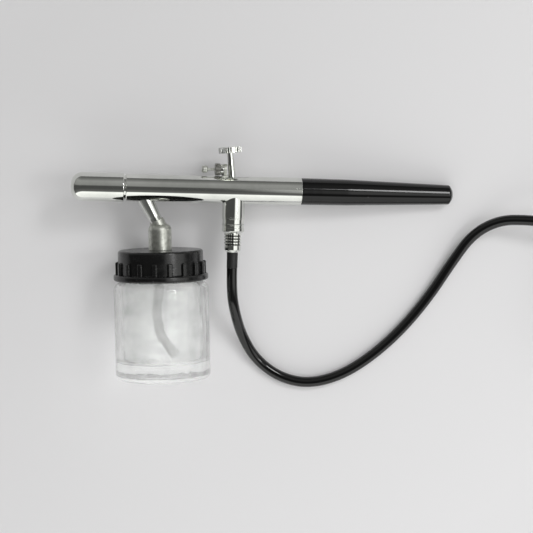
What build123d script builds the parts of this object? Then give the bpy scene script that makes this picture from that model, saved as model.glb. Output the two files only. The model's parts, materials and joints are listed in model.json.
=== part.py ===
from build123d import *
import math
import os

# Bottom-feed, dual-action airbrush with its glass jar and air hose, lying on a table.
#
# Millimetres, +Z up, table top at Z = 0. The origin is at the bottom centre of the airbrush,
# hose left out. Three frames are used:
#   tool  - X along the barrel from nose to tail, Y up towards the trigger; its origin is on the
#           barrel's axis, a little behind the point where the jar's axis meets it
#   bench - X and Y on the table, same origin seen from above, the jar pointing along -Y
#   row   - the bench frame moved to the bottom centre of the airbrush, as written to file

# ---------------------------------------------------------------- driving dimensions
JAR_RADIUS = 18.0
JAR_X = -2.13            # bench X of the jar's axis
JAR_LEAN = 2.63          # degrees between the jar and a square to the barrel
NOSE_X = -35.3
BARREL_FRONT_X = -15.4
BARREL_REAR_X = 52.1
TAIL_X = 111.2
BARREL_RADIUS = 5.17
CAP_RADIUS = 5.5
REAR_BORE = 3.6          # bore behind the trigger
SPIGOT_RADIUS = 4.5      # what the nose cap pushes on to
SPIGOT_FRONT_X = -20.2
SOCKET_THREAD_RADIUS = 4.3
TAIL_RADIUS = 3.72
TAIL_EDGE_X = 109.8
RUN_GAP = 0.06           # radial clearance of every running fit

NEEDLE_RADIUS = 0.65
NEEDLE_TIP_X = -30.9
NEEDLE_TAPER = 12.0

VALVE_X = 26.4
VALVE_RADIUS = 4.3
LEVER_LEAN = 6.0         # degrees forward of upright at rest
LEVER_PIVOT_Y = -2.9
LEVER_THICKNESS = 1.6
BUTTON_RADIUS = 4.3
SCREW_HEIGHT = 7.65      # line-adjusting screw above the barrel axis
SCREW_RADIUS = 0.475

PIPE_TOP = (-6.64, -5.17)  # tool X, Y where the paint pipe leaves the barrel
PIPE_ANGLE = 28.3          # degrees between the paint pipe and a square to the barrel
PIPE_LENGTH = 10.2
PIPE_RADIUS = 2.45

LID_TOP_Y = -23.2
LID_RIB_TOP_Y = -27.5
LID_FLANGE_TOP_Y = -32.1
LID_BOTTOM_Y = -34.6
LID_RIBS = 18
LID_RIB_PHASE = -4.3       # degrees from straight up
JAR_SHOULDER_Y = -35.1
JAR_FLOOR_Y = -65.8
JAR_BOTTOM_Y = -72.2

HOSE_RADIUS = 2.0
SLEEVE_END_Y = -29.8
COIL_CENTRE = (182.0, -46.0)
COIL_RADIUS = 21.6         # middle of the turns
COIL_ROWS = 4
COIL_TURNS_ACROSS = 3
COIL_SLACK = 0.2           # the turns don't pack perfectly
TIE_THICKNESS = 0.5
TIE_ARC = 16
TIE_ANGLE = -128         # degrees round the coil

# ---------------------------------------------------------------- places
TAIL_REACH = TAIL_EDGE_X * math.cos(math.radians(JAR_LEAN))
TILT = math.degrees(
    math.asin(JAR_RADIUS / math.hypot(TAIL_REACH, TAIL_RADIUS)) - math.atan2(TAIL_RADIUS, TAIL_REACH)
)
JAR = Pos(JAR_X, 0, JAR_RADIUS) * Rot(-90, 0, 0)         # local Z becomes the jar's upward axis
TOOL = Pos(0, 0, JAR_RADIUS) * Rot(0, TILT, 0) * Rot(0, 0, -JAR_LEAN)
ALONG = TOOL * Rot(0, 90, 0)                             # local Z becomes tool X
PIPE = TOOL * Pos(*PIPE_TOP) * Rot(0, 0, PIPE_ANGLE) * Rot(90, 0, 0)   # local Z leads down the pipe
LEVER_PIVOT = TOOL * Pos(VALVE_X, LEVER_PIVOT_Y, 0)
LEVER = LEVER_PIVOT * Rot(0, 0, LEVER_LEAN)


def upright(x):
    """Tool position x with local Z up towards the trigger."""
    return TOOL * Pos(x, 0, 0) * Rot(-90, 0, 0)


def along_at(y, z=0):
    """Line parallel to the barrel, with local Z along it."""
    return TOOL * Pos(0, y, z) * Rot(0, 90, 0)


# ---------------------------------------------------------------- shape helpers
def turned(*corners):
    """Solid of revolution about Z; each corner is (along, radius, rounding)."""
    points = [(radius, 0, along) for along, radius, rounding in corners]
    roundings = [rounding for along, radius, rounding in corners]
    outline = FilletPolyline(*points, radius=roundings, close=True)
    return revolve(make_face(outline), axis=Axis.Z)


def rod(start, end, radius):
    """Plain cylinder about Z from start to end."""
    base = (Align.CENTER, Align.CENTER, Align.MIN)
    return Pos(0, 0, min(start, end)) * Cylinder(radius, abs(end - start), align=base)


def ring(start, end, outer, inner, rounding=0.0):
    """Tube about Z with rounded outer corners."""
    return turned((start, inner, 0), (start, outer, rounding), (end, outer, rounding), (end, inner, 0))


def torus(along, radius, wire):
    return Pos(0, 0, along) * Torus(radius, wire)


def notched(start, end, outer, inner, count, notch):
    """Knurled ring: round notches cut along the rim."""
    rim = [spot * Circle(notch) for spot in PolarLocations(outer + 0.3 * notch, count)]
    section = Circle(outer) - rim
    if inner:
        section -= Circle(inner)
    return Pos(0, 0, start) * extrude(section, end - start)


def hexagon(start, end, across_flats, bore):
    section = RegularPolygon(across_flats / 2, 6, major_radius=False) - Circle(bore)
    return Pos(0, 0, start) * extrude(section, end - start)


def coil_spring(start, end, radius, wire, turns):
    """Round-wire compression spring about Z."""
    rise = end - start - 2 * wire
    path = Helix(pitch=rise / turns, height=rise, radius=radius)
    section = Plane(origin=path @ 0, z_dir=path % 0) * Circle(wire)
    return Pos(0, 0, start + wire) * sweep(section, path=path, is_frenet=True)


def hose_tube(points, radius):
    """Round tube along straight runs joined by arcs as large as the runs allow."""
    spots = [Vector(*point) for point in points]
    radii = []
    for before, corner, after in zip(spots, spots[1:], spots[2:]):
        half_turn = math.radians((corner - before).get_angle(after - corner)) / 2
        shorter = min((corner - before).length, (after - corner).length)
        radii.append(0.45 * shorter / math.tan(half_turn))
    path = FilletPolyline(*spots, radius=radii)
    tube = sweep(Plane(origin=path @ 0, z_dir=path % 0) * Circle(radius), path=path)
    share = tube.volume / (math.pi * radius**2 * path.length)
    print("route length", round(path.length, 1), "volume over section x length", round(share, 4))
    print("arc radii", [round(value) for value in radii])
    return tube


# ---------------------------------------------------------------- barrel and nose
PAINT_BORE = 1.3
HEAD_BORE = 2.6
SEAT_X = -13.0           # step that the nozzle seal rests on
PACKING_X = 2.0
BORE_FRONT_X = 14.0
SLOT_FRONT_X = 23.5
SLOT_REAR_X = 32.4
SLOT_WIDTH = 3.4
PIPE_PLUG_RADIUS = 2.1
PIPE_PLUG_LENGTH = 3.6
VALVE_NECK_RADIUS = 2.9


def make_barrel():
    outside = turned(
        (SPIGOT_FRONT_X, 0, 0),
        (SPIGOT_FRONT_X, SPIGOT_RADIUS, 0.3),
        (BARREL_FRONT_X + 0.6, SPIGOT_RADIUS, 0),
        (BARREL_FRONT_X + 0.6, BARREL_RADIUS, 0.4),
        (BARREL_REAR_X, BARREL_RADIUS, 0.2),
        (BARREL_REAR_X, SOCKET_THREAD_RADIUS, 0),
        (BARREL_REAR_X + 5.2, SOCKET_THREAD_RADIUS, 0.3),
        (BARREL_REAR_X + 5.2, 0, 0),
    )
    cuts = [
        rod(SPIGOT_FRONT_X - 1, SEAT_X, HEAD_BORE),
        rod(SEAT_X - 1, PACKING_X + 1, PAINT_BORE),
        rod(PACKING_X, BORE_FRONT_X + 1, 2.2),
        rod(BORE_FRONT_X, BARREL_REAR_X + 6, REAR_BORE),
        Pos(-3.45, 0, 0) * rod(SPIGOT_FRONT_X - 1, BORE_FRONT_X + 1, 0.5),
    ]
    barrel = ALONG * (outside - cuts)
    slot_length = SLOT_REAR_X - SLOT_FRONT_X
    slot = extrude(SlotOverall(slot_length, SLOT_WIDTH), 6)
    barrel -= upright((SLOT_FRONT_X + SLOT_REAR_X) / 2) * Pos(0, 0, 1.5) * slot
    barrel -= upright(VALVE_X) * rod(-6, -2.5, VALVE_NECK_RADIUS)
    barrel -= PIPE * rod(-PIPE_PLUG_LENGTH - 0.2, 3, PIPE_PLUG_RADIUS + RUN_GAP)
    barrel -= PIPE * rod(-6, 0, 1.2)
    return barrel


def make_nose_cap():
    mouth = BARREL_FRONT_X
    inner = SPIGOT_RADIUS + RUN_GAP
    return ALONG * turned(
        (mouth, inner, 0.1),
        (mouth, CAP_RADIUS, 0.35),
        (NOSE_X + 0.55, CAP_RADIUS, 4.4),
        (NOSE_X, 0, 0),
        (NOSE_X + 2.0, 0, 0),
        (NOSE_X + 2.0, inner, 3.4),
    )


def make_spray_head():
    """Knurled ring and cone round the nozzle, screwed into the barrel."""
    face = SPIGOT_FRONT_X
    cone = turned(
        (face, 1.5, 0),
        (face, 2.6, 0),
        (face - 2.6, 4.1, 0.2),
        (face - 9.8, 1.35, 0.15),
        (face - 9.8, 0.75, 0),
        (face - 8.9, 0.75, 0),
        (face - 2.0, 1.75, 0),
    )
    grip = Pos(0, 0, face - 2.6) * notched(0, 2.55, 4.1, 2.0, 30, 0.2)
    neck = ring(face - 0.5, face + 4.4, HEAD_BORE - 0.02, 1.75)
    return ALONG * (cone + grip + neck - rod(face - 2.2, face + 5, 1.75))


def make_nozzle():
    """Fluid tip with a base flange; its bore follows the needle's taper."""
    tip = SPIGOT_FRONT_X - 10.0
    return ALONG * turned(
        (SEAT_X - 0.6, 0.78, 0),
        (SEAT_X - 0.6, 2.3, 0.1),
        (SEAT_X - 1.8, 2.3, 0.1),
        (SEAT_X - 1.8, 1.3, 0),
        (tip + 7.5, 1.3, 0.4),
        (tip, 0.32, 0.05),
        (tip, 0.13, 0),
        (NEEDLE_TIP_X + NEEDLE_TAPER, 0.78, 0),
    )


def make_needle():
    return ALONG * turned(
        (NEEDLE_TIP_X, 0, 0),
        (NEEDLE_TIP_X, 0.04, 0),
        (NEEDLE_TIP_X + NEEDLE_TAPER, NEEDLE_RADIUS, 0),
        (84, NEEDLE_RADIUS, 0.2),
        (84, 0, 0),
    )


def make_front_seals():
    """Nozzle seal, needle packing and the hollow screw that presses the packing."""
    seal = ring(SEAT_X - 0.6, SEAT_X, 2.3, 0.9)
    packing = ring(PACKING_X, PACKING_X + 2.4, 2.15, NEEDLE_RADIUS + RUN_GAP, 0.1)
    screw = ring(PACKING_X + 2.4, PACKING_X + 8.4, 2.19, 0.8, 0.15)
    screw -= Pos(0, 0, PACKING_X + 7.9) * Box(6, 0.7, 1.2)
    return ALONG * seal, ALONG * packing, ALONG * screw


# ---------------------------------------------------------------- lever and needle carriage
ROCKER_X = 27.35
ROCKER_THICKNESS = 0.8
TUBE_HEAD_REAR_X = 29.25
TUBE_RADIUS = 1.7
TUBE_REAR_X = 62.0
SPRING_SCREW_X = 44.0
SPRING_SCREW_REAR_X = 56.0
CHUCK_FRONT_X = 58.0


def make_finger_lever():
    """Forked lever that straddles the needle and rocks on the valve plunger."""
    foot = Pos(0, 0, -1.2) * rod(0, 2.4, 0.75)
    plate = Pos(0, 3.8, 0) * Box(LEVER_THICKNESS, 7.6, 2.8)
    stem = Rot(-90, 0, 0) * turned((6.9, 0, 0), (6.9, 1.38, 0.25), (17.0, 1.22, 0), (17.0, 0, 0))
    peg = Rot(-90, 0, 0) * rod(17.0, 18.2, 0.8)
    lever = foot + plate + stem + peg
    lever -= Pos(0, 3.75, 0) * Box(3, 4.1, 2 * NEEDLE_RADIUS + 0.4)
    return LEVER * lever


def make_trigger_button():
    button = notched(17.0, 19.3, BUTTON_RADIUS, 0, 30, 0.24)
    rounder = turned(
        (17.0, 0, 0),
        (17.0, BUTTON_RADIUS + 0.02, 0.35),
        (19.3, BUTTON_RADIUS + 0.02, 0.45),
        (19.3, 0, 0),
    )
    dish = Pos(0, 0, 19.3 + 26.0 - 0.25) * Sphere(26.0)
    return LEVER * Rot(-90, 0, 0) * ((button & rounder) - dish - rod(16.9, 18.2, 0.8))


def make_rocker():
    """Back lever that carries the finger lever's pull to the needle tube."""
    plate = Pos(ROCKER_X + ROCKER_THICKNESS / 2, 0.15, 0) * Box(ROCKER_THICKNESS, 2.7, 4.0)
    return TOOL * (plate - Rot(0, 90, 0) * rod(20, 40, NEEDLE_RADIUS + 0.05))


def make_needle_tube():
    tube = turned(
        (ROCKER_X + ROCKER_THICKNESS, NEEDLE_RADIUS, 0),
        (ROCKER_X + ROCKER_THICKNESS, 2.9, 0.1),
        (TUBE_HEAD_REAR_X, 2.9, 0.1),
        (TUBE_HEAD_REAR_X, TUBE_RADIUS, 0),
        (TUBE_REAR_X, TUBE_RADIUS, 0.1),
        (TUBE_REAR_X, NEEDLE_RADIUS, 0),
    )
    return ALONG * tube


def make_needle_chuck():
    grip_end = CHUCK_FRONT_X + 6.6
    nut = notched(CHUCK_FRONT_X, grip_end, 2.7, 0, 22, 0.18)
    nose = turned((grip_end, 0, 0), (grip_end, 2.5, 0.1), (grip_end + 1.6, 1.5, 0.3), (grip_end + 1.6, 0, 0))
    bore = rod(CHUCK_FRONT_X - 1, TUBE_REAR_X, TUBE_RADIUS) + rod(CHUCK_FRONT_X - 1, 70, NEEDLE_RADIUS)
    return ALONG * (nut + nose - bore)


def make_spring_screw():
    screw = ring(SPRING_SCREW_X, SPRING_SCREW_REAR_X, REAR_BORE - 0.02, TUBE_RADIUS + RUN_GAP, 0.2)
    screw -= Pos(0, 0, SPRING_SCREW_REAR_X - 0.4) * Box(8, 1.0, 1.4)
    return ALONG * screw


def make_needle_spring():
    return ALONG * coil_spring(TUBE_HEAD_REAR_X, SPRING_SCREW_X, 2.4, 0.25, 9)


# ---------------------------------------------------------------- line-adjusting screw
POST_FRONT_X = 22.3
POST_DEPTH = 1.1
SCREW_TIP_X = 23.6
WHEEL_FRONT_X = 19.0
WHEEL_REAR_X = 20.85


def make_stop_bracket():
    """Post on top of the barrel that holds the line-adjusting screw."""
    outline = Pos(0, SCREW_HEIGHT) * Circle(2.15)
    outline += Pos(0, SCREW_HEIGHT / 2 + 2) * Rectangle(3.3, SCREW_HEIGHT - 4)
    bracket = ALONG * Pos(0, 0, POST_FRONT_X) * extrude(outline, POST_DEPTH)
    foot = fillet(Rectangle(4.4, 2.6).vertices(), 0.6)
    bracket += ALONG * Pos(0, BARREL_RADIUS - 0.95, POST_FRONT_X - 0.5) * extrude(foot, 2.1)
    bracket -= ALONG * rod(0, 50, BARREL_RADIUS)
    bracket -= along_at(SCREW_HEIGHT) * rod(0, 50, SCREW_RADIUS + RUN_GAP)
    bracket -= TOOL * Pos(SLOT_FRONT_X + 2.2, 0, 0) * Box(3.6, 20, SLOT_WIDTH)
    return bracket


def make_line_screw():
    """Thin screw with a round head; its tip stops just short of the lever."""
    return along_at(SCREW_HEIGHT) * turned(
        (14.0, 0, 0),
        (14.0, 1.35, 0.6),
        (16.2, 1.35, 0.6),
        (16.2, SCREW_RADIUS, 0),
        (SCREW_TIP_X, SCREW_RADIUS, 0.15),
        (SCREW_TIP_X, 0, 0),
    )


def make_line_wheel():
    wheel = notched(WHEEL_FRONT_X, WHEEL_REAR_X, 2.3, SCREW_RADIUS + RUN_GAP, 22, 0.17)
    return along_at(SCREW_HEIGHT) * wheel


def make_lock_ring():
    shape = ring(WHEEL_REAR_X + 0.03, POST_FRONT_X, 2.05, SCREW_RADIUS + RUN_GAP, 0.3)
    return along_at(SCREW_HEIGHT) * shape


# ---------------------------------------------------------------- handle
def make_handle():
    grooves = [ring(x - 0.14, x + 0.14, 6, radius) for x, radius in ((55.6, 4.95), (59.1, 4.9))]
    shell = turned(
        (BARREL_REAR_X + 0.02, SOCKET_THREAD_RADIUS + RUN_GAP, 0),
        (BARREL_REAR_X + 0.02, 5.1, 0.2),
        (70.0, 4.95, 40),
        (TAIL_EDGE_X, TAIL_RADIUS, 0.9),
        (TAIL_X - 0.25, 2.0, 2.5),
        (TAIL_X, 0, 0),
        (92.0, 0, 0),
        (91.0, 3.1, 0.4),
        (BARREL_REAR_X + 6.2, 3.1, 0),
        (BARREL_REAR_X + 5.6, SOCKET_THREAD_RADIUS + RUN_GAP, 0),
    )
    return ALONG * (shell - grooves)


# ---------------------------------------------------------------- air valve
VALVE_SPLIT_Y = -12.9
VALVE_END_Y = -16.3
VALVE_STEP_Y = -5.8
SEAT_Y = -7.0
PLUNGER_HEAD_Y = -7.95


def make_valve_body():
    casing = turned(
        (VALVE_SPLIT_Y, 3.1, 0),
        (VALVE_SPLIT_Y, 4.1, 0.1),
        (-11.15, 4.1, 0),
        (-11.15, VALVE_RADIUS, 0.12),
        (-10.7, VALVE_RADIUS, 0.05),
        (-10.7, 4.15, 0),
        (-10.5, 4.15, 0),
        (-10.5, VALVE_RADIUS, 0.05),
        (-2.0, VALVE_RADIUS, 0),
        (-2.0, 2.0, 0),
        (VALVE_STEP_Y, 2.0, 0),
        (VALVE_STEP_Y, 0.95, 0),
        (SEAT_Y, 0.95, 0),
        (SEAT_Y, 3.1, 0),
    )
    sleeve = upright(VALVE_X) * casing - ALONG * rod(0, 60, BARREL_RADIUS)
    neck = upright(VALVE_X) * ring(VALVE_STEP_Y + 0.2, -4.3, VALVE_NECK_RADIUS, 2.0)
    return sleeve + neck


def make_valve_plunger():
    return upright(VALVE_X) * turned(
        (LEVER_PIVOT_Y - 0.8, 0, 0),
        (LEVER_PIVOT_Y - 0.8, 1.5, 0.1),
        (LEVER_PIVOT_Y - 1.5, 1.5, 0),
        (LEVER_PIVOT_Y - 1.5, 0.85, 0),
        (PLUNGER_HEAD_Y, 0.85, 0),
        (PLUNGER_HEAD_Y, 2.3, 0.1),
        (PLUNGER_HEAD_Y - 0.8, 2.3, 0.1),
        (PLUNGER_HEAD_Y - 0.8, 0, 0),
    )


def make_valve_seal():
    return upright(VALVE_X) * torus(-7.5, 1.6, 0.42)


def make_valve_spring():
    return upright(VALVE_X) * coil_spring(-11.8, PLUNGER_HEAD_Y - 0.8, 1.7, 0.18, 4)


def make_valve_screw():
    return upright(VALVE_X) * ring(VALVE_SPLIT_Y, -11.8, 3.08, 1.1)


def make_hose_connector():
    """Lower valve collar with the threaded nipple that takes the hose nut."""
    return upright(VALVE_X) * turned(
        (VALVE_SPLIT_Y, 1.1, 0),
        (VALVE_SPLIT_Y, 4.28, 0.2),
        (-13.4, 4.28, 0.05),
        (-13.5, 4.15, 0),
        (-14.4, 4.15, 0),
        (-14.5, 4.28, 0.05),
        (-15.6, 4.28, 0.3),
        (VALVE_END_Y, 3.5, 0.1),
        (VALVE_END_Y, 2.3, 0),
        (-20.4, 2.3, 0.2),
        (-20.4, 1.1, 0),
    )


# ---------------------------------------------------------------- hose end on the tool
def make_hose_nut():
    bore = 2.3 + RUN_GAP
    nut = notched(-21.0, -16.5, 3.25, bore, 24, 0.16)
    for groove in (-17.4, -18.5, -19.6, -20.7):
        nut -= ring(groove - 0.26, groove + 0.26, 5, 2.85)
    skirt = turned(
        (-21.0, bore, 0),
        (-21.0, 3.1, 0.1),
        (-22.8, 3.1, 0.3),
        (-23.7, 2.3, 0.1),
        (-23.7, 1.5, 0),
        (-22.2, 1.5, 0),
        (-22.2, bore, 0),
    )
    return upright(VALVE_X) * (nut + skirt)


def make_hose_barb():
    """Flanged hose tail: the nut pulls its flange on to the nipple."""
    return upright(VALVE_X) * turned(
        (-20.5, 0.7, 0),
        (-20.5, 2.25, 0.1),
        (-22.1, 2.25, 0.1),
        (-22.1, 1.3, 0),
        (-23.8, 1.3, 0),
        (-24.4, 1.25, 0),
        (-25.6, 1.0, 0),
        (-29.7, 1.0, 0.1),
        (-29.7, 0.7, 0),
    )


def make_hose_sleeve():
    sleeve = turned(
        (-23.75, 1.32, 0),
        (-23.75, 2.1, 0.2),
        (SLEEVE_END_Y, 2.05, 0.25),
        (SLEEVE_END_Y, 1.32, 0),
    )
    return upright(VALVE_X) * sleeve


# ---------------------------------------------------------------- paint pipe, lid and jar
def make_siphon_pipe():
    pipe = turned(
        (-2.0, 0, 0),
        (-2.0, 3.05, 0),
        (6.6, PIPE_RADIUS, 0),
        (PIPE_LENGTH, PIPE_RADIUS, 0.2),
        (PIPE_LENGTH, 0, 0),
    )
    pipe = PIPE * pipe - ALONG * rod(-40, 40, BARREL_RADIUS + 0.05)
    plug = PIPE * rod(-PIPE_PLUG_LENGTH, 1.5, PIPE_PLUG_RADIUS)
    return pipe + plug - PIPE * rod(-10, 20, 1.25)


ADAPTOR_RADIUS = 4.375


def make_adaptor():
    """Domed fitting through the lid; a slanted collar takes the paint pipe."""
    dome = turned(
        (-13.3, 0, 0),
        (-13.3, ADAPTOR_RADIUS, 2.4),
        (LID_TOP_Y, ADAPTOR_RADIUS, 0.1),
        (LID_TOP_Y, 3.0, 0),
        (-28.6, 3.0, 0),
        (-28.6, 1.3, 0),
        (-31.5, 1.3, 0.2),
        (-31.5, 0, 0),
    )
    collar = turned((7.9, 0, 0), (7.9, 2.85, 0.25), (12.0, 2.85, 0.4), (12.0, 0, 0))
    adaptor = JAR * dome + PIPE * collar
    adaptor -= PIPE * rod(0, PIPE_LENGTH + 0.3, PIPE_RADIUS + RUN_GAP)
    adaptor -= PIPE * rod(0, 13.6, 1.1)
    return adaptor - JAR * rod(-33, -17.1, 0.8)


def make_adaptor_nut():
    return JAR * hexagon(-28.2, -26.4, 9.0, 3.02)


LID_INNER_RADIUS = 15.1
LID_CEILING_Y = LID_TOP_Y - 2.1


def make_lid():
    shell = turned(
        (LID_TOP_Y, 3.05, 0),
        (LID_TOP_Y, 16.1, 0.9),
        (LID_FLANGE_TOP_Y, 16.2, 0.2),
        (LID_FLANGE_TOP_Y - 0.2, 17.9, 0.7),
        (LID_BOTTOM_Y, 17.9, 0.8),
        (LID_BOTTOM_Y, LID_INNER_RADIUS, 0.2),
        (LID_CEILING_Y, LID_INNER_RADIUS, 0.5),
        (LID_CEILING_Y, 3.05, 0),
    )
    length = LID_RIB_TOP_Y - LID_FLANGE_TOP_Y + 0.4
    block = Box(2.0, 1.7, length, align=(Align.CENTER, Align.CENTER, Align.MAX))
    block = fillet(block.edges().filter_by(Axis.Z) + block.edges().group_by(Axis.Z)[-1], 0.55)
    for number in range(LID_RIBS):
        angle = 90 + LID_RIB_PHASE + number * 360 / LID_RIBS
        shell += Rot(0, 0, angle) * Pos(16.3, 0, LID_RIB_TOP_Y) * Rot(0, 0, 90) * block
    return JAR * shell


def make_lid_gasket():
    return JAR * ring(LID_CEILING_Y - 1.0, LID_CEILING_Y, 14.6, 5.4, 0.2)


def make_jar():
    neck_top = LID_CEILING_Y - 1.05
    glass = turned(
        (neck_top, 12.2, 0.8),
        (neck_top, 14.6, 0.8),
        (JAR_SHOULDER_Y, 14.6, 0.2),
        (JAR_SHOULDER_Y - 0.4, JAR_RADIUS, 3.2),
        (JAR_BOTTOM_Y, JAR_RADIUS, 2.2),
        (JAR_BOTTOM_Y, 0, 0),
        (JAR_FLOOR_Y, 0, 0),
        (JAR_FLOOR_Y, 15.0, 2.4),
        (JAR_SHOULDER_Y - 2.6, 15.0, 2.5),
        (JAR_SHOULDER_Y + 0.6, 12.2, 2.0),
    )
    return JAR * glass


DIP_ROUTE = [(0, -28.7), (0, -34.5), (-2.1, -47.5), (-0.7, -55.4), (4.9, -63.6)]


def make_dip_tube():
    """Soft tube pushed on the adaptor's nipple, bowed towards the jar's tail-side corner."""
    centre = [Vector(JAR_X + x, y, JAR_RADIUS) for x, y in DIP_ROUTE]
    path = FilletPolyline(*centre, radius=[24, 20, 12])
    section = Circle(1.8) - Circle(1.32)
    return sweep(Plane(origin=path @ 0, z_dir=path % 0) * section, path=path)


# ---------------------------------------------------------------- free hose
HOSE_FIRST_RUN = 8.6       # straight out of the sleeve
HOSE_ROUTE = [
    (25.4, -47.9, 12.4),
    (27.8, -57.9, 5.6),
    (33.0, -67.8, 2.2),
    (42.3, -75.1, 2.0),
    (53.8, -77.8, 2.0),
    (66.9, -74.4, 2.0),
    (79.4, -66.5, 2.0),
    (90.8, -56.3, 2.0),
    (101.0, -44.2, 2.3),
    (109.7, -31.1, 3.6),
    (117.5, -20.3, 5.8),
    (127.5, -14.9, 8.4),
    (138.2, -14.9, 10.9),
    (150.0, -16.5, 12.9),
    (162.5, -17.8, 14.2),
    (174.5, -19.2, 14.6),
    (185.7, -20.7, 14.6),
]
TAIL_ROUTE = [
    (207.6, -46.0, 2.6),
    (207.9, -54.5, 2.8),
    (207.3, -63.0, 4.3),
    (207.3, -71.5, 6.4),
    (207.3, -79.5, 6.5),
]
FITTING_X = 207.3
FITTING_Z = 6.5


def make_hose():
    first_run = [(TOOL * Pos(VALVE_X, SLEEVE_END_Y - run, 0)).position for run in (0, HOSE_FIRST_RUN)]
    return hose_tube([tuple(point) for point in first_run] + HOSE_ROUTE, HOSE_RADIUS)


def coil_section(corner):
    """Section of the wound hose, rows of turns side by side, lying on its tie."""
    width = COIL_TURNS_ACROSS * 2 * HOSE_RADIUS + COIL_SLACK
    height = COIL_ROWS * 2 * HOSE_RADIUS + COIL_SLACK
    return Pos(COIL_RADIUS, TIE_THICKNESS + height / 2) * fillet(Rectangle(width, height).vertices(), corner)


def make_hose_coil():
    """Outer shape of the wound hose."""
    return Pos(*COIL_CENTRE, 0) * revolve(Plane.XZ * coil_section(HOSE_RADIUS))


def make_coil_tie():
    """Strap once round the wound hose."""
    inside = coil_section(HOSE_RADIUS)
    band = offset(inside, TIE_THICKNESS) - inside
    strap = revolve(Plane.XZ * band, axis=Axis.Z, revolution_arc=TIE_ARC)
    return Pos(*COIL_CENTRE, 0) * Rot(0, 0, TIE_ANGLE) * strap


# ---------------------------------------------------------------- compressor end of the hose
NUT_FLATS = 13.0
NUT_THREAD_RADIUS = 4.28
NUT_MOUTH_Y = -103.5
NUT_THREAD_END_Y = -95.4


def compressor_end(shape):
    """Lay a part drawn along local Z on the table, its Z measured along bench Y."""
    return Pos(FITTING_X, 0, FITTING_Z) * Rot(-90, 0, 0) * shape


def make_ferrule():
    sleeve = turned(
        (-79.0, HOSE_RADIUS, 0),
        (-79.0, 2.7, 0.4),
        (-88.5, 2.7, 0.3),
        (-88.5, HOSE_RADIUS, 0),
    )
    for groove in (-82.0, -84.0, -86.0):
        sleeve -= ring(groove - 0.35, groove + 0.35, 4, 2.4)
    return compressor_end(sleeve)


def make_swivel_tail():
    """Hose tail whose flange keeps the swivel nut on."""
    tail = turned(
        (-79.8, 0.6, 0),
        (-79.8, HOSE_RADIUS, 0),
        (-88.5, HOSE_RADIUS, 0),
        (-88.5, 3.2, 0.3),
        (-90.0, 3.2, 0.2),
        (-90.0, 2.6, 0),
        (-93.4, 2.6, 0),
        (-93.4, 3.9, 0.2),
        (-95.0, 3.9, 0.9),
        (-95.0, 0.6, 0),
    )
    return compressor_end(tail)


def make_swivel_nut():
    body = hexagon(NUT_MOUTH_Y, -92.2, NUT_FLATS, 2.6 + RUN_GAP)
    trim = turned(
        (NUT_MOUTH_Y, 0, 0),
        (NUT_MOUTH_Y, 6.4, 0),
        (NUT_MOUTH_Y + 1.2, 7.6, 0),
        (-93.4, 7.6, 0),
        (-92.2, 6.4, 0),
        (-92.2, 0, 0),
    )
    thread = rod(NUT_MOUTH_Y - 1, NUT_THREAD_END_Y, NUT_THREAD_RADIUS)
    relief = rod(NUT_THREAD_END_Y, -93.34, NUT_THREAD_RADIUS + 0.4)
    return compressor_end((body & trim) - thread - relief)


# ---------------------------------------------------------------- assembly
def make_parts():
    nozzle_seal, needle_packing, packing_screw = make_front_seals()
    return {
        "barrel": make_barrel(),
        "nose_cap": make_nose_cap(),
        "spray_head": make_spray_head(),
        "nozzle": make_nozzle(),
        "nozzle_seal": nozzle_seal,
        "needle_packing": needle_packing,
        "packing_screw": packing_screw,
        "needle": make_needle(),
        "finger_lever": make_finger_lever(),
        "trigger_button": make_trigger_button(),
        "rocker": make_rocker(),
        "needle_tube": make_needle_tube(),
        "needle_spring": make_needle_spring(),
        "spring_screw": make_spring_screw(),
        "needle_chuck": make_needle_chuck(),
        "handle": make_handle(),
        "stop_bracket": make_stop_bracket(),
        "line_screw": make_line_screw(),
        "line_wheel": make_line_wheel(),
        "lock_ring": make_lock_ring(),
        "valve_body": make_valve_body(),
        "valve_plunger": make_valve_plunger(),
        "valve_seal": make_valve_seal(),
        "valve_spring": make_valve_spring(),
        "valve_screw": make_valve_screw(),
        "hose_connector": make_hose_connector(),
        "hose_nut": make_hose_nut(),
        "hose_barb": make_hose_barb(),
        "hose_sleeve": make_hose_sleeve(),
        "siphon_pipe": make_siphon_pipe(),
        "adaptor": make_adaptor(),
        "adaptor_nut": make_adaptor_nut(),
        "lid": make_lid(),
        "lid_gasket": make_lid_gasket(),
        "jar": make_jar(),
        "dip_tube": make_dip_tube(),
        "hose": make_hose(),
        "hose_coil": make_hose_coil(),
        "coil_tie": make_coil_tie(),
        "hose_tail": hose_tube(TAIL_ROUTE, HOSE_RADIUS),
        "hose_ferrule": make_ferrule(),
        "swivel_tail": make_swivel_tail(),
        "swivel_nut": make_swivel_nut(),
    }


HOSE_NODES = [
    "hose",
    "hose_coil",
    "coil_tie",
    "hose_tail",
    "hose_ferrule",
    "swivel_tail",
    "swivel_nut",
]


def bench_to_row(parts):
    """Move the bottom centre of the airbrush, hose left out, to the origin."""
    boxes = [shape.bounding_box() for name, shape in parts.items() if name not in HOSE_NODES]
    low = [min(box.min.X for box in boxes), min(box.min.Y for box in boxes)]
    high = [max(box.max.X for box in boxes), max(box.max.Y for box in boxes)]
    return Pos(-round((low[0] + high[0]) / 2, 2), -round((low[1] + high[1]) / 2, 2), 0)


PARTS = make_parts()
ROW = bench_to_row(PARTS)

os.makedirs("parts", exist_ok=True)
for name, shape in PARTS.items():
    export_step(ROW * shape, f"parts/{name}.step")
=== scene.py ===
import json
import math

import bmesh
import bpy
from mathutils import Matrix, Vector


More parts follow.
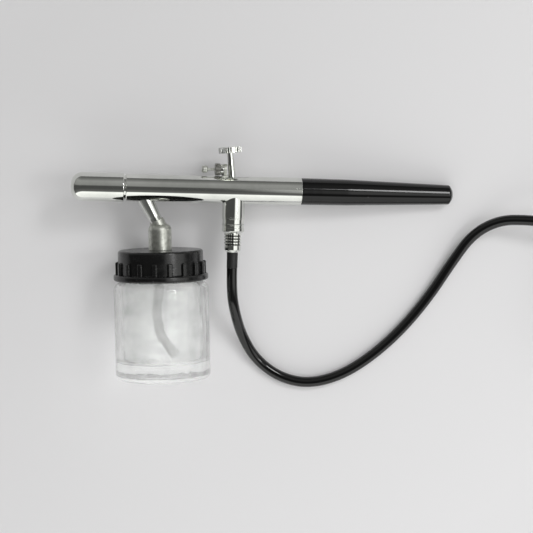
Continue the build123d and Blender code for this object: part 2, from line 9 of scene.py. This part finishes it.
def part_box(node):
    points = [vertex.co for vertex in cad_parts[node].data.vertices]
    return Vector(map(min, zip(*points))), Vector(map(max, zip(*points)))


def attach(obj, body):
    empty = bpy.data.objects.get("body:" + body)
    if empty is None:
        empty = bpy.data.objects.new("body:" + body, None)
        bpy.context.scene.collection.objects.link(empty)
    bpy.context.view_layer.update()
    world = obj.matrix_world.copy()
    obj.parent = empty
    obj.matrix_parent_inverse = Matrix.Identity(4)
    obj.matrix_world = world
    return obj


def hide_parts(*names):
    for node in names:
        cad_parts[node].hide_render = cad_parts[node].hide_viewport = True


# Looks of a bottom-feed airbrush that lies on a pale table with its jar and its air hose.
# Metres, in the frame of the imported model: +X from nose to tail, +Y towards the trigger.

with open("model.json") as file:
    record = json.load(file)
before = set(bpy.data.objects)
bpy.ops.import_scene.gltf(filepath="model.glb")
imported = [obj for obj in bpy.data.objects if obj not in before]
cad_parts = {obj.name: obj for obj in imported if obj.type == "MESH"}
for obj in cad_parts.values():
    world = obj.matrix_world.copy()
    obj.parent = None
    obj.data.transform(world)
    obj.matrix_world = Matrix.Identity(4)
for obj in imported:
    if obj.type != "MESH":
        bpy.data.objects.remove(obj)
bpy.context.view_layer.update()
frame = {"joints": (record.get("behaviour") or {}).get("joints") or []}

MM = 0.001


# ---------------------------------------------------------------- places
def joint_axis(name):
    joint = next(joint for joint in frame["joints"] if joint["name"] == name)
    return Vector(joint["axis"]).normalized()


def find_bench():
    """The origin of the tool's own measures, dropped to the table, found from the jar."""
    low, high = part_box("jar")
    return Vector(((low.x + high.x) / 2 - JAR_X, low.y + JAR_BOTTOM, 0))


JAR_X = -2.13 * MM
JAR_BOTTOM = 72.2 * MM       # barrel axis to the jar's base, along the jar's axis
JAR_RADIUS = 18 * MM
BENCH = find_bench()
BARREL_X = joint_axis("handle_pull")
TRIGGER_Y = joint_axis("hose_nut_turn")
TOOL = Matrix((BARREL_X, TRIGGER_Y, BARREL_X.cross(TRIGGER_Y))).transposed().to_4x4()
TOOL.translation = BENCH + Vector((0, 0, JAR_RADIUS))


def on_bench(x, y, z):
    """Millimetres on the table, from the bench point, as a place in the row frame."""
    return BENCH + Vector((x, y, z)) * MM


def on_tool(x, y, z=0.0):
    """Millimetres along and across the barrel as a place in the row frame."""
    return TOOL @ (Vector((x, y, z)) * MM)


# ---------------------------------------------------------------- camera
CAMERA_AIM = (37.96, -30.32, 18.0)
CAMERA_DISTANCE = 0.65
CAMERA_RISE = math.radians(85.6)
CAMERA_YAW = math.radians(2.63)
CAMERA_ROLL = math.radians(1.53)
CAMERA_LENS = 115.84


def make_camera():
    data = bpy.data.cameras.new("camera")
    data.lens = CAMERA_LENS
    data.sensor_width = 36
    data.clip_start = 0.01
    camera = bpy.data.objects.new("camera", data)
    bpy.context.scene.collection.objects.link(camera)
    level = math.cos(CAMERA_RISE)
    back = Vector((level * math.sin(CAMERA_YAW), level * math.cos(CAMERA_YAW), math.sin(CAMERA_RISE)))
    right = Vector((math.cos(CAMERA_YAW), -math.sin(CAMERA_YAW), 0))
    up = back.cross(right)
    turn = Matrix.Rotation(CAMERA_ROLL, 3, back)
    axes = Matrix((turn @ right, turn @ up, back)).transposed().to_4x4()
    camera.matrix_world = Matrix.Translation(on_bench(*CAMERA_AIM) + back * CAMERA_DISTANCE) @ axes
    bpy.context.scene.camera = camera


# ---------------------------------------------------------------- air hose
HOSE_RADIUS = 2.0
VALVE_X = 26.4
SLEEVE_END_Y = -29.8
HOSE_FIRST_RUN = 8.6
HOSE_ROUTE = [
    (25.4, -47.9, 12.4),
    (27.8, -57.9, 5.6),
    (33.0, -67.8, 2.2),
    (42.3, -75.1, 2.0),
    (53.8, -77.8, 2.0),
    (66.9, -74.4, 2.0),
    (79.4, -66.5, 2.0),
    (90.8, -56.3, 2.0),
    (101.0, -44.2, 2.3),
    (109.7, -31.1, 3.6),
    (117.5, -20.3, 5.8),
    (127.5, -14.9, 8.4),
    (138.2, -14.9, 10.9),
    (150.0, -16.5, 12.9),
    (162.5, -17.8, 14.2),
    (174.5, -19.2, 14.6),
]
TAIL_ROUTE = [
    (207.9, -54.5, 2.8),
    (207.3, -63.0, 4.3),
    (207.3, -71.5, 6.4),
    (207.3, -79.5, 6.5),
]
COIL_CENTRE = (182.0, -46.0)
COIL_RADIUS = 21.6           # middle of the turns
COIL_ROWS = 4
COIL_BOTTOM_Z = 2.6
COIL_ENTRY_ANGLE = 81.6
COIL_TURNS = 9               # whole turns; the rest leads from the entry to the way out
ROW_ANGLE = 720.0            # each row spirals in or out over two turns, then drops to the next
POINTS_PER_TURN = 16


def coil_point(turned, drop_angle):
    """Place on the coil after that many degrees, clockwise from above, top row first."""
    row, along = divmod(turned, ROW_ANGLE + drop_angle)
    share = min(along / ROW_ANGLE, 1.0)
    inwards = 1 - 2 * share if row % 2 == 0 else 2 * share - 1
    drop = max(along - ROW_ANGLE, 0.0) / drop_angle
    drop = drop * drop * (3 - 2 * drop)
    # a spline of order 3 runs a little inside its control points
    radius = (COIL_RADIUS + 2 * HOSE_RADIUS * inwards) / math.cos(math.pi / POINTS_PER_TURN)
    angle = math.radians(COIL_ENTRY_ANGLE - turned)
    height = COIL_BOTTOM_Z + 2 * HOSE_RADIUS * (COIL_ROWS - 1 - row - drop)
    return COIL_CENTRE[0] + radius * math.cos(angle), COIL_CENTRE[1] + radius * math.sin(angle), height


def coil_points():
    whole = 360 * COIL_TURNS + COIL_ENTRY_ANGLE
    drop_angle = (whole - COIL_ROWS * ROW_ANGLE) / (COIL_ROWS - 1)
    count = round(POINTS_PER_TURN * whole / 360)
    return [coil_point(whole * step / count, drop_angle) for step in range(count)] + [
        (COIL_CENTRE[0] + COIL_RADIUS + 2 * HOSE_RADIUS, COIL_CENTRE[1], COIL_BOTTOM_Z)
    ]


def make_air_hose():
    leaving = on_tool(VALVE_X, SLEEVE_END_Y)
    points = [leaving, on_tool(VALVE_X, SLEEVE_END_Y - HOSE_FIRST_RUN)]
    points += [on_bench(*point) for point in HOSE_ROUTE + coil_points() + TAIL_ROUTE]
    data = bpy.data.curves.new("air_hose", "CURVE")
    data.dimensions = "3D"
    data.bevel_depth = 1.0       # times each point's radius
    data.bevel_resolution = 10
    data.resolution_u = 8
    data.use_fill_caps = True
    spline = data.splines.new("NURBS")
    spline.points.add(len(points) - 1)
    for control, point in zip(spline.points, points):
        control.co = (*point, 1)
        control.radius = HOSE_RADIUS * MM
    spline.order_u = 3
    spline.use_endpoint_u = True
    hose = bpy.data.objects.new("air_hose", data)
    bpy.context.scene.collection.objects.link(hose)
    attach(hose, "barrel")
    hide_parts("hose", "hose_coil", "hose_tail")


make_camera()
make_air_hose()


# ---------------------------------------------------------------- materials
def colour_sockets(sockets):
    return [socket for socket in sockets if socket.type == "RGBA"]


class Finish:
    """A node-based material being made, in the part's own coordinates."""

    def __init__(self, name, colour, roughness, **values):
        self.material = bpy.data.materials.new(name)
        self.material.use_nodes = True
        self.tree = self.material.node_tree
        self.surface = self.tree.nodes["Principled BSDF"]
        self.colour = colour
        self.set("Base Color", (*colour, 1))
        self.set("Roughness", roughness)
        for socket, value in values.items():
            self.set(socket.replace("_", " "), value)
        self.place = self.node("ShaderNodeTexCoord").outputs["Object"]

    def set(self, socket, value):
        self.surface.inputs[socket].default_value = value

    def node(self, kind, **links):
        made = self.tree.nodes.new(kind)
        for socket, value in links.items():
            target = made.inputs[socket.replace("_", " ")]
            if isinstance(value, bpy.types.NodeSocket):
                self.tree.links.new(value, target)
            else:
                target.default_value = value
        return made

    def stretched(self, along, factor):
        """Coordinates squeezed along one direction, so that a texture is drawn out along it."""
        turned = self.node("ShaderNodeVectorRotate", Vector=self.place)
        turned.rotation_type = "EULER_XYZ"
        turned.inputs["Rotation"].default_value = along.to_track_quat("X", "Z").inverted().to_euler()
        squeezed = self.node("ShaderNodeVectorMath", Vector=turned.outputs["Vector"])
        squeezed.operation = "MULTIPLY"
        squeezed.inputs[1].default_value = (1 / factor, 1, 1)
        return squeezed.outputs["Vector"]

    def noise(self, size, detail=3.0, place=None, roughness=0.55):
        """Cloudy texture whose largest features are about that size in metres."""
        made = self.node("ShaderNodeTexNoise", Vector=place or self.place)
        made.inputs["Scale"].default_value = 1 / size
        made.inputs["Detail"].default_value = detail
        made.inputs["Roughness"].default_value = roughness
        return made.outputs["Fac"]

    def specks(self, size, share):
        """Small round dots, white on black, over about that share of the cells."""
        cells = self.node("ShaderNodeTexVoronoi", Vector=self.place)
        cells.inputs["Scale"].default_value = 1 / size
        near = self.fade(cells.outputs["Distance"], 0.12, 0.3, 1, 0)
        chosen = self.fade(self.grey(cells.outputs["Color"]), 1 - share, 1 - share + 0.02, 0, 1)
        return self.math("MULTIPLY", near, chosen)

    def math(self, operation, *values):
        made = self.node("ShaderNodeMath")
        made.operation = operation
        for socket, value in zip(made.inputs, values):
            if isinstance(value, bpy.types.NodeSocket):
                self.tree.links.new(value, socket)
            else:
                socket.default_value = value
        return made.outputs["Value"]

    def distance(self, direction):
        """How far along that direction, in metres, from the frame's origin."""
        made = self.node("ShaderNodeVectorMath", Vector=self.place)
        made.operation = "DOT_PRODUCT"
        made.inputs[1].default_value = direction
        return made.outputs["Value"]

    def grey(self, colour):
        return self.node("ShaderNodeSeparateColor", Color=colour).outputs["Red"]

    def fade(self, value, low, high, at_low, at_high):
        made = self.node("ShaderNodeMapRange", Value=value)
        made.inputs["From Min"].default_value = low
        made.inputs["From Max"].default_value = high
        made.inputs["To Min"].default_value = at_low
        made.inputs["To Max"].default_value = at_high
        return made.outputs["Result"]

    def colours(self, share, first, second):
        """Base colour from first to second as the share goes from 0 to 1."""
        mixed = self.node("ShaderNodeMix")
        mixed.data_type = "RGBA"
        at_none, at_full = colour_sockets(mixed.inputs)
        at_none.default_value = (*first, 1)
        at_full.default_value = (*second, 1)
        self.tree.links.new(share, mixed.inputs["Factor"])
        self.tree.links.new(colour_sockets(mixed.outputs)[0], self.surface.inputs["Base Color"])

    def roughness(self, share, low, high):
        self.tree.links.new(self.fade(share, 0.3, 0.7, low, high), self.surface.inputs["Roughness"])

    def bump(self, height, distance, strength=1.0):
        made = self.node("ShaderNodeBump", Height=height)
        made.inputs["Distance"].default_value = distance
        made.inputs["Strength"].default_value = strength
        previous = self.surface.inputs["Normal"]
        if previous.is_linked:
            self.tree.links.new(previous.links[0].from_socket, made.inputs["Normal"])
        self.tree.links.new(made.outputs["Normal"], previous)

    def let_lamps_through(self, share):
        """Lamplight passes straight on, that share of it at each surface, so shadows stay light."""
        clear = self.node("ShaderNodeBsdfTransparent", Color=(share, share, share, 1))
        shadow_ray = self.node("ShaderNodeLightPath").outputs["Is Shadow Ray"]
        mixed = self.node("ShaderNodeMixShader", Fac=shadow_ray)
        self.tree.links.new(self.surface.outputs["BSDF"], mixed.inputs[1])
        self.tree.links.new(clear.outputs["BSDF"], mixed.inputs[2])
        output = self.tree.nodes["Material Output"]
        self.tree.links.new(mixed.outputs["Shader"], output.inputs["Surface"])


def shade(amount):
    return (amount, amount, amount)


def chrome(name, along):
    """Mirror plate with faint polishing lines round the turned parts and a few dull spots."""
    finish = Finish(name, (0.70, 0.71, 0.68), 0.06, Metallic=1.0)
    clouds = finish.noise(9 * MM, 4)
    lines = finish.noise(0.25 * MM, 2, finish.stretched(along, 14))
    finish.colours(finish.fade(clouds, 0.35, 0.7, 0, 1), (0.75, 0.76, 0.73), (0.64, 0.65, 0.62))
    finish.roughness(clouds, 0.04, 0.09)
    finish.bump(lines, 0.0012 * MM, 0.5)
    return finish.material


NUT_GROOVES = (-17.4, -18.5, -19.6, -20.7)    # from the barrel's axis, along the valve
NUT_GROOVE_REACH = 0.26      # half a groove's width


def grooved_chrome_painted_shade():
    """Mirror plate with painted shade in the rings round the hose nut."""
    finish = Finish("chrome_nut_painted_groove_shade", (0.70, 0.71, 0.68), 0.1, Metallic=1.0)
    along = finish.distance(TRIGGER_Y)
    share = 0.0
    for y in NUT_GROOVES:
        middle = on_tool(VALVE_X, y).dot(TRIGGER_Y)
        inside = finish.math("COMPARE", along, middle, NUT_GROOVE_REACH * MM)
        share = finish.math("ADD", share, inside)
    # painted shade: near-black colour in each groove ring stands in for the shade inside the grooves
    finish.colours(share, (0.70, 0.71, 0.68), (0.06, 0.06, 0.055))
    finish.roughness(finish.noise(2 * MM, 4), 0.06, 0.16)
    return finish.material


def satin_nickel():
    finish = Finish("satin_nickel", (0.55, 0.56, 0.52), 0.42, Metallic=1.0)
    spots = finish.noise(1.2 * MM, 5, roughness=0.7)
    finish.colours(finish.fade(spots, 0.38, 0.62, 0, 1), (0.70, 0.71, 0.66), (0.50, 0.51, 0.465))
    finish.roughness(spots, 0.36, 0.52)
    finish.bump(finish.noise(0.35 * MM, 4), 0.02 * MM, 0.5)
    return finish.material


def dark_nickel():
    finish = Finish("dark_nickel", (0.3, 0.3, 0.28), 0.28, Metallic=1.0)
    spots = finish.noise(0.9 * MM, 4)
    finish.colours(finish.fade(spots, 0.35, 0.65, 0, 1), (0.40, 0.40, 0.37), (0.16, 0.16, 0.15))
    finish.roughness(spots, 0.2, 0.4)
    return finish.material


def drawn_steel():
    finish = Finish("drawn_steel", (0.66, 0.66, 0.66), 0.22, Metallic=1.0)
    lines = finish.noise(0.12 * MM, 3, finish.stretched(BARREL_X, 30))
    finish.colours(lines, (0.72, 0.72, 0.72), (0.52, 0.52, 0.53))
    finish.roughness(lines, 0.16, 0.32)
    finish.bump(lines, 0.004 * MM)
    return finish.material


def turned_brass():
    finish = Finish("turned_brass", (0.78, 0.60, 0.30), 0.24, Metallic=1.0)
    tarnish = finish.noise(3 * MM, 5)
    finish.colours(finish.fade(tarnish, 0.35, 0.7, 0, 1), (0.82, 0.64, 0.33), (0.58, 0.42, 0.20))
    finish.roughness(tarnish, 0.18, 0.36)
    finish.bump(finish.noise(0.1 * MM, 2), 0.005 * MM)
    return finish.material


def handle_black():
    """Polished black with soft waves, hairline scratches and a little dust."""
    finish = Finish("handle_black", shade(0.002), 0.08, IOR=1.42)
    smears = finish.noise(6 * MM, 4, finish.stretched(BARREL_X, 5))
    finish.colours(finish.specks(1.1 * MM, 0.05), shade(0.002), shade(0.03))
    finish.roughness(smears, 0.05, 0.12)
    finish.bump(finish.noise(0.2 * MM, 2, finish.stretched(BARREL_X, 40)), 0.0008 * MM, 0.5)
    return finish.material


def lid_black():
    """Semi-gloss moulded plastic: fine grain with scuffs."""
    finish = Finish("lid_black", shade(0.004), 0.22, IOR=1.5)
    scuffs = finish.noise(2.2 * MM, 5)
    finish.colours(finish.specks(0.9 * MM, 0.06), shade(0.004), shade(0.04))
    finish.roughness(scuffs, 0.16, 0.32)
    finish.bump(finish.noise(0.5 * MM, 3), 0.02 * MM, 0.5)
    return finish.material


def clear_glass():
    """Pressed glass with soft waves, and streaks of film dried on the inside."""
    finish = Finish("clear_glass", (0.98, 0.99, 0.985), 0.03, Transmission_Weight=0.85, IOR=1.48)
    finish.set("Alpha", 0.9)
    film = finish.noise(6 * MM, 5, finish.stretched(BARREL_X, 2.5))
    finish.colours(finish.fade(film, 0.42, 0.66, 0, 1), (0.98, 0.985, 0.98), (0.80, 0.81, 0.805))
    finish.roughness(film, 0.02, 0.10)
    finish.bump(finish.noise(4 * MM, 3), 0.3 * MM, 0.7)
    finish.let_lamps_through(0.92)
    return finish.material


def clear_tube():
    """Cloudy soft plastic that lets some of the light through."""
    finish = Finish("clear_tube", shade(0.4), 0.35, IOR=1.35)
    finish.set("Alpha", 0.7)
    film = finish.noise(4 * MM, 4)
    finish.colours(film, shade(0.46), shade(0.34))
    finish.roughness(film, 0.28, 0.45)
    return finish.material


def white_seal():
    finish = Finish("white_seal", (0.86, 0.86, 0.83), 0.5, Subsurface_Weight=0.1)
    finish.colours(finish.noise(2 * MM, 4), (0.88, 0.88, 0.85), (0.76, 0.76, 0.72))
    finish.bump(finish.noise(0.4 * MM, 3), 0.02 * MM)
    return finish.material


def black_rubber(name):
    finish = Finish(name, shade(0.01), 0.5)
    grain = finish.noise(0.5 * MM, 4)
    finish.colours(grain, shade(0.006), shade(0.016))
    finish.roughness(grain, 0.42, 0.6)
    finish.bump(grain, 0.03 * MM, 0.7)
    return finish.material


def hose_vinyl():
    finish = Finish("hose_vinyl", shade(0.003), 0.12, IOR=1.5)
    haze = finish.noise(5 * MM, 4)
    finish.colours(finish.specks(1.2 * MM, 0.04), shade(0.003), shade(0.03))
    finish.roughness(haze, 0.05, 0.11)
    finish.bump(finish.noise(1.6 * MM, 2), 0.008 * MM, 0.5)
    return finish.material


def give(material, *names):
    """That material alone on each of those CAD nodes or pieces."""
    for name in names:
        data = bpy.data.objects[name].data
        data.materials.clear()
        data.materials.append(material)


def make_materials():
    chrome_along = chrome("chrome_barrel", BARREL_X)
    chrome_across = chrome("chrome_valve", TRIGGER_Y)
    brass = turned_brass()
    steel = drawn_steel()
    give(chrome_along, "barrel", "nose_cap", "spray_head", "lock_ring")
    give(chrome_across, "finger_lever", "trigger_button", "valve_body", "hose_connector")
    give(grooved_chrome_painted_shade(), "hose_nut")
    give(chrome_across, "siphon_pipe", "swivel_tail", "swivel_nut", "hose_ferrule")
    give(satin_nickel(), "adaptor", "adaptor_nut", "stop_bracket", "line_screw")
    give(dark_nickel(), "line_wheel")
    give(steel, "needle", "needle_spring", "valve_spring")
    give(brass, "nozzle", "needle_tube", "rocker", "needle_chuck", "spring_screw", "packing_screw")
    give(brass, "valve_plunger", "valve_screw", "hose_barb")
    give(handle_black(), "handle")
    give(lid_black(), "lid")
    give(clear_glass(), "jar")
    give(clear_tube(), "dip_tube")
    give(white_seal(), "nozzle_seal", "needle_packing", "lid_gasket")
    give(black_rubber("seal_rubber"), "valve_seal")
    give(black_rubber("sleeve_rubber"), "hose_sleeve", "coil_tie")
    give(hose_vinyl(), "air_hose", "hose", "hose_coil", "hose_tail")


make_materials()


# ---------------------------------------------------------------- table and light
TABLE_REACH = 1.6            # metres, either way
# direction in which painted light brightens the table paper
TABLE_PAINTED_LIGHT_TOWARDS = (0.6, -0.8, 0.0)


def make_table():
    mesh = bpy.data.meshes.new("table_top")
    shape = bmesh.new()
    bmesh.ops.create_grid(shape, x_segments=2, y_segments=2, size=TABLE_REACH)
    shape.to_mesh(mesh)
    shape.free()
    table_top = bpy.data.objects.new("table_top", mesh)
    bpy.context.scene.collection.objects.link(table_top)
    finish = Finish("table_paper", (0.78, 0.775, 0.77), 0.6)
    # painted light: the paper's colour darkens towards the upper left and lightens towards the lower
    # right, standing in for the lamps' falloff
    share = finish.fade(finish.distance(TABLE_PAINTED_LIGHT_TOWARDS), -120 * MM, 130 * MM, 0, 1)
    finish.colours(share, (0.66, 0.654, 0.664), (0.82, 0.813, 0.827))
    finish.bump(finish.noise(1.5 * MM, 3), 0.02 * MM, 0.4)
    mesh.materials.append(finish.material)


def area_light(name, place, size, watts):
    """Square lamp that faces the jar and the barrel."""
    data = bpy.data.lights.new(name, "AREA")
    data.size = size
    data.energy = watts
    light = bpy.data.objects.new(name, data)
    bpy.context.scene.collection.objects.link(light)
    light.location = place
    light.rotation_mode = "QUATERNION"
    light.rotation_quaternion = (Vector(place) - BENCH).to_track_quat("Z", "Y")
    return light


# brightness at places from -1 to 1: across the tool by Y, endwise by X, blended by Y
WORLD_STRENGTH = 1.4
ACROSS_LEVELS = [
    (-1, 0.75), (-0.64, 1.0), (-0.56, 0.12), (-0.3, 0.08),
    (-0.1, 0.12), (0.1, 0.2), (0.75, 0.27), (1, 0.1),
]
ENDWISE_LEVELS = [(-1, 0.06), (0.24, 0.06), (0.36, 1.0), (0.92, 0.9), (0.97, 0.1)]
ENDWISE_SHARE = [(-0.34, 0), (-0.2, 1), (0.14, 1), (0.28, 0)]


def world_ramp(tree, value, stops):
    """Brightness over a direction coordinate from -1 to 1."""
    spread = tree.nodes.new("ShaderNodeMapRange")
    spread.inputs["From Min"].default_value = -1
    spread.inputs["From Max"].default_value = 1
    tree.links.new(value, spread.inputs["Value"])
    ramp = tree.nodes.new("ShaderNodeValToRGB")
    tree.links.new(spread.outputs["Result"], ramp.inputs["Fac"])
    elements = ramp.color_ramp.elements
    while len(elements) < len(stops):
        elements.new(0.5)
    for element, (place, level) in zip(elements, stops):
        element.position = (place + 1) / 2
        element.color = (level, level * 1.005, level * 0.98, 1)
    return ramp.outputs["Color"]


def make_world():
    """A pale room: a bright wall on the jar's side, a dim ceiling, dim ends with a pale screen each."""
    world = bpy.data.worlds.new("room")
    world.use_nodes = True
    tree = world.node_tree
    place = tree.nodes.new("ShaderNodeTexCoord")
    split = tree.nodes.new("ShaderNodeSeparateXYZ")
    tree.links.new(place.outputs["Generated"], split.inputs["Vector"])
    across = world_ramp(tree, split.outputs["Y"], ACROSS_LEVELS)
    endwise = world_ramp(tree, split.outputs["X"], ENDWISE_LEVELS)
    blend = world_ramp(tree, split.outputs["Y"], ENDWISE_SHARE)
    mixed = tree.nodes.new("ShaderNodeMix")
    mixed.data_type = "RGBA"
    at_none, at_full = colour_sockets(mixed.inputs)
    tree.links.new(blend, mixed.inputs["Factor"])
    tree.links.new(across, at_none)
    tree.links.new(endwise, at_full)
    tree.links.new(colour_sockets(mixed.outputs)[0], tree.nodes["Background"].inputs["Color"])
    tree.nodes["Background"].inputs["Strength"].default_value = WORLD_STRENGTH
    bpy.context.scene.world = world


make_table()
make_world()
area_light("key", (0.66, 0.6, 1.1), 0.34, 4.2)
area_light("side_lamp", (0.72, 0.05, 1.0), 0.16, 0.8)
area_light("fill", (0.1, -0.1, 1.6), 2.0, 10.5).visible_glossy = False
bpy.context.scene.view_settings.view_transform = "Standard"

bpy.context.view_layer.update()
